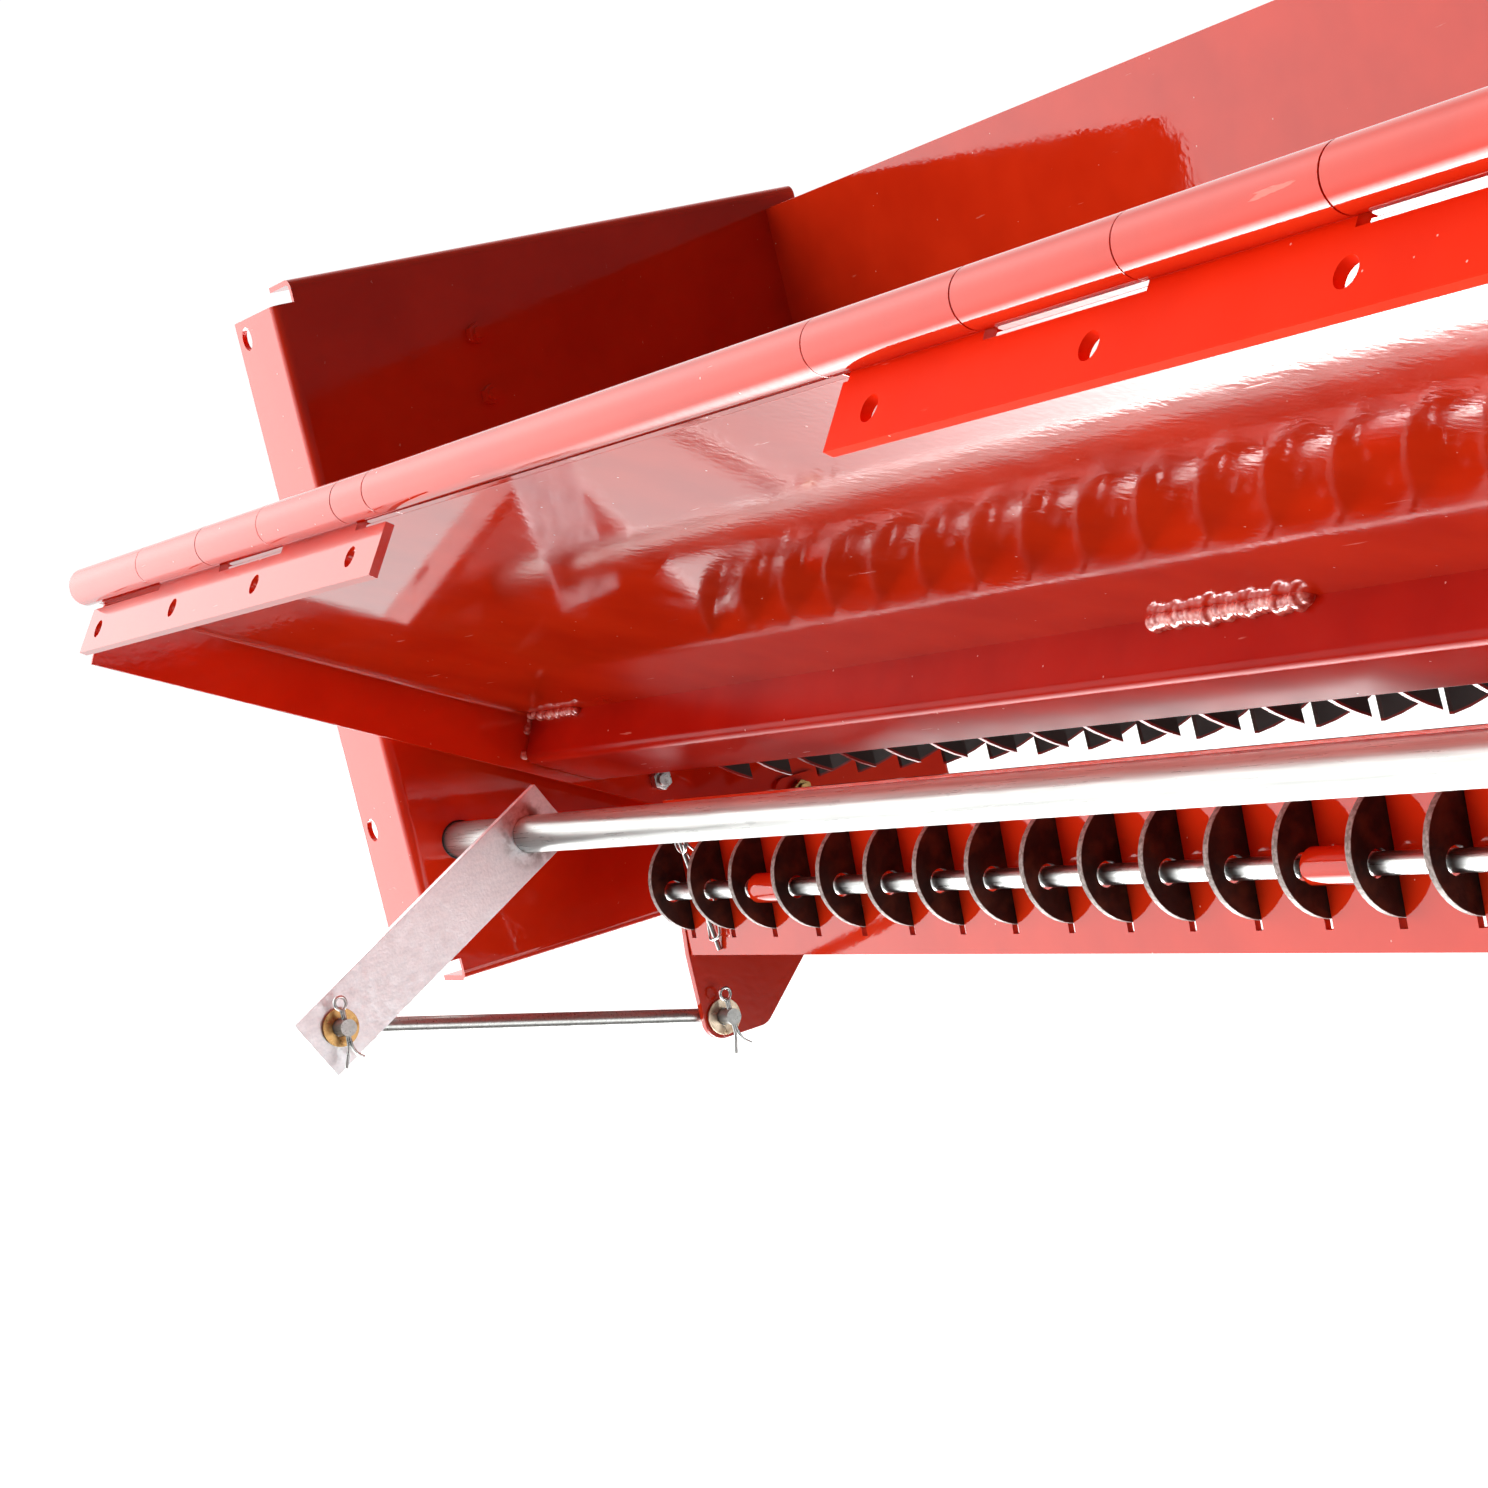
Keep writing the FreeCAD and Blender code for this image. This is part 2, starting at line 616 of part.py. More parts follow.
def link_rod(name, side):
    """A round bar with both ends bent through a right angle to make its own pins."""
    body = new_body(f"Link{name}")
    span = math.hypot(float(PIN_C[0] - PIN_A[0]), float(PIN_C[1] - PIN_A[1]))
    reach = float(S.link_x - S.link_end)
    bend = float(S.link_bend)
    diagonal = bend * (1 - math.sqrt(0.5))
    path = body.newObject("Sketcher::SketchObject", "Path")
    support = [f for f in body.Origin.OriginFeatures if f.Role == "XY_Plane"][0]
    path.AttachmentSupport = [(support, "")]
    path.MapMode = "FlatFace"
    points = [Vector(0, reach, 0), Vector(0, bend, 0), Vector(bend, 0, 0)]
    points += [Vector(span - bend, 0, 0), Vector(span, bend, 0), Vector(span, reach, 0)]
    near = Vector(diagonal, diagonal, 0)
    far = Vector(span - diagonal, diagonal, 0)
    path.addGeometry(Part.LineSegment(points[0], points[1]), False)
    path.addGeometry(Part.Arc(points[1], near, points[2]), False)
    path.addGeometry(Part.LineSegment(points[2], points[3]), False)
    path.addGeometry(Part.Arc(points[3], far, points[4]), False)
    path.addGeometry(Part.LineSegment(points[4], points[5]), False)
    section = sketch(body, "XZ_Plane", [], [(0, 0, S.link_radius)], -(S.link_x - S.link_end))
    doc.recompute()
    pipe = body.newObject("PartDesign::AdditivePipe", "Pipe")
    pipe.Profile = section
    pipe.Spine = (path, [f"Edge{i}" for i in range(1, 6)])
    body.Tip = pipe
    along = vector((0, *[c - a for a, c in zip(PIN_A, PIN_C)])).normalize()
    inwards = Vector(-side, 0, 0)
    place(body, (S.link_x * side, *PIN_A), Rotation(along, inwards, along.cross(inwards), "XYZ"))
    hole_x = (S.link_end + 6) * side
    holes = [pin_bore(hole_x, y, z, S.split_pin + 0.3, 40) for y, z in (PIN_A, PIN_C)]
    keep(cut(body, group(*holes)), f"link_rod_{name}")
    pins = [pin_bore(hole_x, y, z, S.split_pin, 30) for y, z in (PIN_A, PIN_C)]
    keep(group(*pins), f"split_pins_{name}")


def pin_bore(x, y, z, radius, length):
    """A short cylinder across the end of a link rod, upright."""
    return cylinder(radius, length, (x, y, z - length / 2), Rotation())


def link_washers(name, side):
    low = S.lever_face - S.washer_thick if side > 0 else -S.lever_face
    for label, (y, z) in (("lever_washer", PIN_A), ("bracket_washer", PIN_C)):
        ring = tube(S.washer_radius, S.link_hole, S.washer_thick, (low, y, z))
        keep(ring, f"{label}_{name}")


# ---------------------------------------------------------------- comb and breaker discs
def slot_places():
    count = int(float(S.disc_count))
    return [S.disc_pitch * (i - (count - 1) / 2) for i in range(count)]


def comb_plate():
    body = new_body("CombPlate")
    half = S.lever_face
    pad(body, "XZ_Plane", [rectangle((-half, Size(0)), (half, S.comb_tall))], 0, S.comb_thick)
    before = body.Shape.Volume
    left = slot_places()[0]
    outline = rectangle(
        (left - S.slot_width / 2, S.slot_foot), (left + S.slot_width / 2, S.comb_tall - S.slot_head)
    )
    slot = drill(body, "XZ_Plane", [], [outline])
    pattern = body.newObject("PartDesign::LinearPattern", "Slots")
    pattern.Originals = [slot]
    axis = [f for f in body.Origin.OriginFeatures if f.Role == "X_Axis"][0]
    pattern.Direction = (axis, [""])
    bind(pattern, "Length", S.disc_pitch * (S.disc_count - 1))
    bind(pattern, "Occurrences", S.disc_count)
    body.Tip = pattern
    doc.recompute()
    one_slot = float(S.slot_width * (S.comb_tall - S.slot_foot - S.slot_head) * S.comb_thick)
    if abs(before - body.Shape.Volume - one_slot * float(S.disc_count)) > 1:
        raise RuntimeError("the comb does not have all its slots")
    keep(COMB.place(body), "comb_plate")


def comb_bracket(name, side):
    """End plate of the comb: from the slotted plate down to the link pin and back to the pivot."""
    body = new_body(f"Bracket{name}")
    pin_y, pin_z = PIN_C
    pivot_y, pivot_z = S.pivot_y, S.pivot_z
    outline = [
        (S.comb_y - 2, S.comb_z), (pin_y - 20, pin_z + 12), (pin_y - 20, pin_z - 20),
        (pin_y + 44, pin_z - 20), (pivot_y - 122, pivot_z - 84), (pivot_y - 6, pivot_z - 30),
        (pivot_y + 30, pivot_z - 30), (pivot_y + 30, pivot_z + 30), (pivot_y - 40, pivot_z + 30),
        (pivot_y - 170, pivot_z + 62), (S.comb_y + 13, S.comb_z + 142),
    ]
    start = S.lever_face if side > 0 else -(S.lever_face + S.lever_thick)
    holes = [(pin_y, pin_z, S.link_hole), (pivot_y, pivot_z, S.tube_radius)]
    pad(body, "YZ_Plane", [outline], start, S.lever_thick, holes)
    fillet(body, 18, "x", [(pin_y - 20, pin_z - 20), (pin_y + 44, pin_z - 20)])
    fillet(body, 28, "x", [(pivot_y + 30, pivot_z - 30), (pivot_y + 30, pivot_z + 30)])
    keep(place(body), f"comb_bracket_{name}")


def comb_rib():
    """A web behind the comb plate at mid-width, back to the pivot tube."""
    body = new_body("CombRib")
    back = S.comb_thick
    turn = COMB.cos
    dy = S.pivot_y - S.comb_y
    dz = S.pivot_z - S.comb_z
    across = dy * turn + dz * COMB.sin
    up = dz * turn - dy * COMB.sin
    outline = [
        (back, Size(3)), (across - 110, up - 52), (across, up - 30), (across + 30, up - 30),
        (across + 30, up + 30), (across - 20, up + 30), (across - 150, up + 44), (back, Size(135)),
    ]
    pad(body, "YZ_Plane", [outline], -3, 6, [(across, up, S.tube_radius)])
    fillet(body, 28, "x", [(across + 30, up - 30), (across + 30, up + 30)])
    keep(COMB.place(body), "comb_rib")


def breaker_discs():
    """Round plates in the comb's slots, hung on the rod through a hole near their front."""
    body = new_body("Disc")
    rod_across = -S.rod_stand
    circles = [
        (S.disc_reach, S.disc_height, S.disc_radius), (rod_across, S.rod_height, S.disc_hole),
    ]
    pad(body, "YZ_Plane", [], -S.disc_thick / 2, S.disc_thick, circles)
    COMB.place(body)
    keep(repeat(body, slot_places()), "breaker_discs")


def disc_rod():
    rod = cylinder(S.rod_radius, S.rod_half * 2, COMB.at(-S.rod_half, -S.rod_stand, S.rod_height))
    hole = clip_leg(S.clip_wire + 0.3, 60, Size(-30))
    keep(cut(rod, hole), "disc_rod")
    bosses = []
    for i in (-1, 0, 1):
        spot = COMB.at(S.boss_pitch * i - S.boss_long / 2, -S.rod_stand, S.rod_height)
        bosses.append(tube(S.boss_radius, S.rod_radius + 0.1, S.boss_long, spot))
    keep(group(*bosses), "rod_bosses")


def clip_leg(radius, length, low):
    """Upright wire through the cross hole in the rod, from low, measured from the rod's axis."""
    return cylinder(radius, length, CLIP.at(-S.clip_x, 0, low), CLIP.turn)


def bent_wire(radius, bend, points):
    """A closed loop of round wire along straight runs joined by tangent arcs."""
    edges = []
    start = (points[0] + points[-1]) / 2
    end = start
    for before, corner, after in zip([start] + points, points, points[1:] + [start]):
        back = (before - corner).normalize()
        onward = (after - corner).normalize()
        half = back.getAngle(onward) / 2
        reach = bend / math.tan(half)
        inward = (back + onward).normalize()
        middle = corner + inward * (bend / math.sin(half) - bend)
        first = corner + back * reach
        last = corner + onward * reach
        edges += [Part.makeLine(end, first), Part.Arc(first, middle, last).toShape()]
        end = last
    edges.append(Part.makeLine(end, start))
    section = Part.Wire(Part.makeCircle(radius, start, points[0] - start))
    return Part.Wire(edges).makePipeShell([section], True, False)


def rod_clip():
    """Snap pin: a straight leg through the rod and a wire bail that snaps over the leg's end."""
    leg = clip_leg(S.clip_wire, S.clip_high - S.clip_low + S.clip_eye + 2, S.clip_low)
    eye = doc.addObject("Part::Torus", "Eye")
    bind(eye, "Radius1", S.clip_eye)
    bind(eye, "Radius2", S.clip_bail + 0.3)
    flat = Rotation(Vector(1, 0, 0), 90)
    place(eye, CLIP.at(-S.clip_x, 0, S.clip_high), CLIP.turn.multiply(flat))
    side, high, catch = float(S.clip_side), float(S.clip_high), float(S.clip_catch)
    behind = float(S.rod_radius + S.clip_bail + S.clip_room)
    half = [(0, high), (behind, high - behind), (behind, 0), (0, catch)]
    right = [Vector(side, across, up) for across, up in half]
    left = [Vector(-side, across, up) for across, up in reversed(half)]
    bail = doc.addObject("Part::Feature", "Bail")
    bail.Shape = bent_wire(float(S.clip_bail), 4, right + left)
    place(bail, CLIP.at(-S.clip_x, 0, 0), CLIP.turn)
    keep(fuse(leg, eye, bail), "rod_clip")


# ---------------------------------------------------------------- auger
def auger_tube():
    keep(
        tube(S.core_radius, S.core_radius - S.core_wall, S.core_half * 2, (-S.core_half, 0, 0)),
        "auger_tube",
    )


def auger_flight():
    """One turn for each pitch, each cut away at the bottom of the tube's start line."""
    pitch = float(S.disc_pitch)
    inner = float(S.core_radius)
    outer = float(S.flight_radius)
    half_thick = float(S.flight_thick) / 2
    gap = 0.02
    helix = Part.makeHelix(pitch, pitch * (1 - gap), inner)
    corners = [
        Vector(inner, 0, -half_thick), Vector(outer, 0, -half_thick),
        Vector(outer, 0, half_thick), Vector(inner, 0, half_thick),
    ]
    profile = Part.makePolygon(corners + corners[:1])
    sweep = Part.BRepOffsetAPI.MakePipeShell(Part.Wire(helix))
    sweep.setBiNormalMode(Vector(0, 0, 1))
    sweep.add(profile)
    sweep.build()
    sweep.makeSolid()
    turn = sweep.shape()
    notch = Part.makeBox(
        float(S.notch_depth) + 5, float(S.notch_width), pitch * 2,
        Vector(outer - float(S.notch_depth), -float(S.notch_width) / 2 - 30, -pitch / 2),
    )
    notch.rotate(Vector(0, 0, 0), Vector(0, 0, 1), 180)
    turn = turn.cut(notch)
    turn.rotate(Vector(0, 0, 0), Vector(0, 0, 1), 180)
    turn.rotate(Vector(0, 0, 0), Vector(0, 1, 0), 90)
    item = doc.addObject("Part::Feature", "Flight")
    count = int(float(S.flight_turns))
    starts = [pitch * (i - count / 2) for i in range(count)]
    item.Shape = Part.makeCompound([turn.translated(Vector(x, 0, 0)) for x in starts])
    keep(place(item), "auger_flight")


def stub_shaft(name, side):
    """A plug in the end of the auger tube with a bearing seat, and on the right a drive end."""
    low = S.core_half - 60 if side > 0 else -S.core_half
    plug = cylinder(S.core_radius - S.core_wall, 60, (low, 0, 0))
    seat_low = S.core_half - 2 if side > 0 else -S.shaft_end
    seat = cylinder(S.shaft_radius, S.shaft_end - S.core_half + 2, (seat_low, 0, 0))
    if side < 0:
        keep(fuse(plug, seat), f"stub_shaft_{name}")
        return
    drive = cylinder(S.drive_radius, S.drive_end - S.shaft_end, (S.shaft_end, 0, 0))
    keep(fuse(plug, seat, drive), f"stub_shaft_{name}")


def bearing(name, side):
    """A four-bolt flanged housing on the end plate's outer face, and the insert that turns in it."""
    face = S.half_width + S.plate_thick
    half = S.housing_side / 2
    bolt_spot = S.housing_bolts / 2
    body = new_body(f"Housing{name}")
    start = face if side > 0 else -(face + S.housing_base)
    holes = [(bolt_spot * i, bolt_spot * j, S.bolt_radius + 0.5) for i in (-1, 1) for j in (-1, 1)]
    bore = (0, 0, S.insert_radius)
    pad(body, "YZ_Plane", [rectangle((-half, -half), (half, half))], start, S.housing_base,
        holes + [bore])
    corners = [(half * i, half * j) for i in (-1, 1) for j in (-1, 1)]
    fillet(body, 16, "x", corners)
    hub_start = start + S.housing_base if side > 0 else -(face + S.hub_deep)
    hub = [(0, 0, S.hub_radius), bore]
    pad(body, "YZ_Plane", [], hub_start, S.hub_deep - S.housing_base, hub)
    keep(place(body), f"bearing_housing_{name}")
    low = face - 4 if side > 0 else -(face + S.hub_deep + 10)
    insert = tube(S.insert_radius - 0.08, S.shaft_radius, S.hub_deep + 14, (low, 0, 0))
    keep(insert, f"bearing_insert_{name}")
    bolts = []
    for y, z, _ in holes:
        bolts.append(bolt(side, y, z, face + S.housing_base, S.half_width))
    keep(group(*bolts), f"bearing_bolts_{name}")


# ---------------------------------------------------------------- what bolts the pan and comb on
def pan_fixings(name, side):
    face = S.half_width + S.plate_thick
    inside = S.pan_half - S.pan_sheet
    bolts = []
    spacers = []
    for across, up in PAN_BOLTS:
        _, y, z = PAN.at(0, across, up)
        bolts.append(bolt(side, y, z, face, inside))
        low = S.pan_half if side > 0 else -S.half_width
        spacers.append(
            tube(S.spacer_radius, S.bolt_radius + 0.5, S.half_width - S.pan_half, (low, y, z))
        )
    keep(group(*bolts), f"pan_bolts_{name}")
    keep(group(*spacers), f"pan_spacers_{name}")
    painted = [bolt(side, y, z, face, S.half_width) for y, z in GRID_BOLTS]
    keep(group(*painted), f"cover_bolts_{name}")


def pivot_hanger(name, side):
    """A doubler plate around the pivot bush, with a bolt above it."""
    body = new_body(f"Hanger{name}")
    rise = float(HANGER_RISE)
    outline = rectangle((S.pivot_y - 26, S.pivot_z - 26), (S.pivot_y + 26, S.pivot_z + rise + 16))
    thick = Size(6)
    start = S.half_width - thick if side > 0 else -S.half_width
    holes = [
        (S.pivot_y, S.pivot_z, S.tube_radius + 1), (S.pivot_y, S.pivot_z + rise, S.bolt_radius + 0.5),
    ]
    pad(body, "YZ_Plane", [outline], start, thick, holes)
    top = S.pivot_z + rise + 16
    low = S.pivot_z - 26
    fillet(body, 12, "x", [(S.pivot_y + 26 * i, up) for i in (-1, 1) for up in (low, top)])
    keep(place(body), f"pivot_hanger_{name}")
    face = S.half_width + S.plate_thick
    fixing = bolt(side, S.pivot_y, S.pivot_z + rise, face, S.half_width - thick)
    keep(fixing, f"hanger_bolt_{name}")


# ---------------------------------------------------------------- build everything
for name, side in SIDES.items():
    end_plate(f"end_plate_{name}", side)
front_pan()
pan_stiffener()
rear_trough()
pan_hinge_tube()
for name, side in SIDES.items():
    hinge_leaf(name)
    bush(f"adjusting_bush_{name}", side, S.adjust_y, S.adjust_z)
    bush(f"pivot_bush_{name}", side, S.pivot_y, S.pivot_z)
    lever(name, side)
    link_rod(name, side)
    link_washers(name, side)
    comb_bracket(name, side)
    bearing(name, side)
    stub_shaft(name, side)
    pan_fixings(name, side)
    pivot_hanger(name, side)
adjusting_tube()
comb_plate()
comb_rib()
breaker_discs()
disc_rod()
rod_clip()
auger_tube()
auger_flight()

doc.recompute()
faults = [item.Name for item in doc.Objects if {"Invalid", "Error"} & set(item.State)]
if faults:
    raise RuntimeError(f"failed objects: {faults}")
for item in subparts:
    if item.Shape.isNull() or not item.Shape.isValid():
        raise RuntimeError(f"{item.Label} has no valid shape")

os.makedirs("parts", exist_ok=True)
for item in subparts:
    item.Shape.exportStep(f"parts/{item.Label}.step")
    print(item.Label, len(item.Shape.Solids), round(item.Shape.Volume / 1000))
print(len(subparts), "sub-parts")
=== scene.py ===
"""Looks for the cross auger: finishes, welds, pins and clips, studio light and camera."""
import json
import math
import random

import bpy
from mathutils import Matrix, Vector


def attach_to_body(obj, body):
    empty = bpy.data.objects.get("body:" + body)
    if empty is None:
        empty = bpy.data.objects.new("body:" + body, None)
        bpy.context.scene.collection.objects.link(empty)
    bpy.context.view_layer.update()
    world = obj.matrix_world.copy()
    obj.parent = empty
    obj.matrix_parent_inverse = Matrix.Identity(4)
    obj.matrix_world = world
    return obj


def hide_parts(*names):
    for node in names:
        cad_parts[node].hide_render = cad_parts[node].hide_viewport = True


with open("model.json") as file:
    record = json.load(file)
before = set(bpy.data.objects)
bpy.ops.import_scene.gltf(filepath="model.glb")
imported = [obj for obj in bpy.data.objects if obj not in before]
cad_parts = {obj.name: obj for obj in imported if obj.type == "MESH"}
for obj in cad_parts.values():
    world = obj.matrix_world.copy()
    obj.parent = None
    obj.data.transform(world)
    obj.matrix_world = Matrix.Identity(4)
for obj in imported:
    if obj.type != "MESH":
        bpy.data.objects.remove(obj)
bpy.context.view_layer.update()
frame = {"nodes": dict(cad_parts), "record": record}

MM = 0.001
NODES = frame["nodes"]
BODY_OF = {node: body for body, nodes in frame["record"]["behaviour"]["bodies"].items() for node in nodes}
SIDES = {"left": -1, "right": 1}
# The auger's axis in the row frame; the machine's own sizes are given from it.
AUGER = Vector((0, 0.390, -0.150))


def slanted(y, z, degrees):
    """A frame turned about X whose origin is given in mm from the auger's axis."""
    place = Matrix.Translation(AUGER + Vector((0, y, z)) * MM)
    return place @ Matrix.Rotation(math.radians(degrees), 4, "X")


PAN = slanted(-250.9, -18.6, -27)
LEVER = slanted(-339.2, -115.4, 207.45)
CLIP = slanted(-219.3, -202, 7)
PIN_PLACES = {"lever": (-561.05, -230.6), "bracket": (-192.85, -328.9)}
DISC_CENTRE = AUGER + Vector((0, -194.3, -196.8)) * MM
TUBE_CENTRE = AUGER + Vector((0, -339.2, -115.4)) * MM
HINGE_CENTRE = AUGER + Vector((0, -641.1, 193.8)) * MM
# How far the hinge knuckles reach from the hinge's axis.
BARREL_REACH = 17.5 * MM


# ---------------------------------------------------------------- camera, light and floor
def linear(hex_colour):
    """sRGB hex to the linear colour that shader sockets take."""
    channels = [int(hex_colour[i:i + 2], 16) / 255 for i in (0, 2, 4)]
    return [c / 12.92 if c <= 0.04045 else ((c + 0.055) / 1.055) ** 2.4 for c in channels] + [1.0]


def add_node(tree, kind, inputs=None, **settings):
    """Adds one shader node, with its settings, and each input as a value or as a link."""
    node = tree.nodes.new(kind)
    for name, value in settings.items():
        setattr(node, name, value)
    for name, value in (inputs or {}).items():
        if isinstance(value, bpy.types.NodeSocket):
            tree.links.new(value, node.inputs[name])
        else:
            node.inputs[name].default_value = value
    return node


def camera():
    """A long lens at the machine's front right, a little above the auger, rolled slightly."""
    data = bpy.data.cameras.new("camera")
    data.lens = 77.42
    data.sensor_width = 36
    data.clip_start = 0.05
    item = bpy.data.objects.new("camera", data)
    bpy.context.scene.collection.objects.link(item)
    right = Vector((0.49024, 0.8383, -0.2387))
    up = Vector((0.0587, 0.2415, 0.9686))
    back = Vector((0.86961, -0.4889, 0.0692))
    stand = AUGER + Vector((1.6555, -1.5673, 0.1166))
    item.matrix_world = Matrix.Translation(stand) @ Matrix((right, up, back)).transposed().to_4x4()
    bpy.context.scene.camera = item


def studio():
    """A white room: a bright wall at the object's front left, bright light from below on its left,
    a small card low on the right, and dim elsewhere. The camera sees it plain white."""
    world = bpy.data.worlds.new("studio")
    bpy.context.scene.world = world
    world.use_nodes = True
    tree = world.node_tree
    direction = add_node(tree, "ShaderNodeTexCoord").outputs["Generated"]
    part = add_node(tree, "ShaderNodeSeparateXYZ", {"Vector": direction})
    left, front, above, below = [
        add_node(tree, "ShaderNodeMapRange", {
            "Value": part.outputs[axis], "From Min": dark, "From Max": bright,
        }, interpolation_type="SMOOTHSTEP").outputs[0]
        for axis, dark, bright in (
            ("X", 0.2, -0.6), ("Y", 0.25, -0.3), ("Z", -0.8, 0.0), ("Z", -0.42, -0.8),
        )
    ]
    wall = add_node(tree, "ShaderNodeMath", {0: front, 1: above}, operation="MULTIPLY").outputs[0]
    aim = Vector((0.86, 0.3, -0.42)).normalized()
    aside = add_node(tree, "ShaderNodeVectorMath", {0: direction, 1: aim}, operation="DOT_PRODUCT")
    card = add_node(tree, "ShaderNodeMapRange", {
        "Value": aside.outputs["Value"], "From Min": 0.94, "From Max": 0.985,
    }, interpolation_type="SMOOTHSTEP").outputs[0]
    # Each light times its strength, over what is there already: wall over air, floor, dim right side, card.
    room = add_node(tree, "ShaderNodeMath", {0: wall, 1: 2.2, 2: 1.1}, operation="MULTIPLY_ADD").outputs[0]
    room = add_node(tree, "ShaderNodeMath", {0: below, 1: 32.0, 2: room}, operation="MULTIPLY_ADD").outputs[0]
    level = add_node(tree, "ShaderNodeMath", {0: room, 1: left, 2: 0.17}, operation="MULTIPLY_ADD").outputs[0]
    level = add_node(tree, "ShaderNodeMath", {0: card, 1: 4.2, 2: level}, operation="MULTIPLY_ADD").outputs[0]
    seen = add_node(tree, "ShaderNodeLightPath").outputs["Is Camera Ray"]
    shown = add_node(tree, "ShaderNodeMix", {0: seen, 2: level, 3: 1.05})
    background = tree.nodes["Background"]
    background.inputs["Color"].default_value = (1, 1, 1, 1)
    tree.links.new(shown.outputs[0], background.inputs["Strength"])
    bpy.context.scene.view_settings.view_transform = "Standard"
    bpy.ops.mesh.primitive_plane_add(size=60, location=(0, 0, -1.4))
    floor = bpy.context.object
    floor.name = "floor"
    floor.visible_diffuse = False
    floor.visible_glossy = False
    paper = finish("floor_paper", "FBFAF8", Roughness=0.9, Emission_Color=(1, 1, 1, 1), Emission_Strength=0.45)
    floor.data.materials.append(paper[0])


# ---------------------------------------------------------------- finishes
def finish(name, colour, **sockets):
    """A new material: its node tree, its shader and a starting colour in sRGB hex."""
    material = bpy.data.materials.new(name)
    material.use_nodes = True
    tree = material.node_tree
    shader = tree.nodes["Principled BSDF"]
    shader.inputs["Base Color"].default_value = linear(colour)
    for socket, value in sockets.items():
        shader.inputs[socket.replace("_", " ")].default_value = value
    return material, tree, shader


def object_place(tree, scale=(1, 1, 1), turn=(0, 0, 0)):
    """Object coordinates, stretched and turned for a pattern that has a direction."""
    place = add_node(tree, "ShaderNodeTexCoord").outputs["Object"]
    return add_node(tree, "ShaderNodeMapping", {"Vector": place, "Scale": scale, "Rotation": turn}).outputs[0]


def cloud(tree, place, size, low, high, detail=3.0, out=(0.0, 1.0)):
    """A mask from noise whose patches are about size metres across: out[0] below low, out[1] above high."""
    noise = add_node(tree, "ShaderNodeTexNoise", {"Vector": place, "Scale": 1 / size, "Detail": detail})
    return add_node(tree, "ShaderNodeMapRange", {
        "Value": noise.outputs["Fac"], "From Min": low, "From Max": high, "To Min": out[0], "To Max": out[1],
    }).outputs[0]


def specks(tree, place, spacing, share, radius):
    """A mask of small round grains, spacing metres apart, that keeps a share of them."""
    cells = add_node(tree, "ShaderNodeTexVoronoi", {"Vector": place, "Scale": 1 / spacing})
    near = add_node(tree, "ShaderNodeMath", {0: cells.outputs["Distance"], 1: radius}, operation="LESS_THAN")
    pick = add_node(tree, "ShaderNodeSeparateColor", {"Color": cells.outputs["Color"]})
    kept = add_node(tree, "ShaderNodeMath", {0: pick.outputs[0], 1: share}, operation="LESS_THAN")
    both = add_node(tree, "ShaderNodeMath", {0: near.outputs[0], 1: kept.outputs[0]}, operation="MULTIPLY")
    return both.outputs[0]


def layered(tree, tone, *layers):
    """Lays colours over a tone in turn. Each layer is its mask, its share (a number or a second mask)
    and its colour. A colour is sRGB hex or a link."""
    tone = linear(tone)
    for mask, share, over in layers:
        over = linear(over) if isinstance(over, str) else over
        part = add_node(tree, "ShaderNodeMath", {0: mask, 1: share}, operation="MULTIPLY").outputs[0]
        tone = add_node(tree, "ShaderNodeMix", {0: part, 6: tone, 7: over}, data_type="RGBA").outputs[2]
    return tone


def from_axis(tree, centre):
    """Distance of a surface point from the line along X through centre."""
    place = add_node(tree, "ShaderNodeTexCoord").outputs["Object"]
    offset = add_node(tree, "ShaderNodeVectorMath", {0: place, 1: centre}, operation="SUBTRACT")
    flat = add_node(tree, "ShaderNodeVectorMath", {0: offset.outputs[0], 1: (0, 1, 1)}, operation="MULTIPLY")
    return add_node(tree, "ShaderNodeVectorMath", {0: flat.outputs[0]}, operation="LENGTH").outputs["Value"]


def surface(tree, shader, tone, height, depth, rough=None):
    """Links a finish's colour, roughness and relief. Height runs from 0 to 1 over depth metres."""
    relief = add_node(tree, "ShaderNodeBump", {"Height": height, "Distance": depth, "Strength": 1.0})
    for socket, link in (("Base Color", tone), ("Roughness", rough), ("Normal", relief.outputs[0])):
        if link is not None:
            tree.links.new(link, shader.inputs[socket])


def red_enamel(name="red_enamel", gloss=0.035, colour="DE3210", shade="D02A0C", specular=0.38):
    """Baked red machine enamel over smooth sheet: wet and mirror-like at a low angle, with a faint
    orange peel, dust nibs that dried in it, hairline scratches and a slightly uneven depth of red."""
    material, tree, shader = finish(name, colour, Specular_IOR_Level=specular, IOR=1.5)
    place = object_place(tree)
    deep = cloud(tree, place, 0.09, 0.35, 0.7)
    streaks = object_place(tree, (6, 90, 60), (0.3, 0.2, 0.5))
    scratches = cloud(tree, streaks, 0.5, 0.725, 0.745, detail=6.0, out=(0.0, 0.35))
    nibs = specks(tree, place, 0.011, 0.12, 0.07)
    tone = layered(tree, colour, (deep, 1.0, shade), (nibs, 0.55, "FFD8C8"), (scratches, 1.0, "F2A490"))
    dull = cloud(tree, place, 0.05, 0.4, 0.75, out=(gloss, gloss + 0.05))
    rough = add_node(tree, "ShaderNodeMath", {0: scratches, 1: 0.5, 2: dull}, operation="MULTIPLY_ADD")
    peel = add_node(tree, "ShaderNodeTexNoise", {"Vector": place, "Scale": 1 / 0.006, "Detail": 1.0})
    peel = peel.outputs["Fac"]
    height = add_node(tree, "ShaderNodeMath", {0: nibs, 1: 0.3, 2: peel}, operation="MULTIPLY_ADD")
    surface(tree, shader, tone, height.outputs[0], 0.00004, rough.outputs[0])
    return material


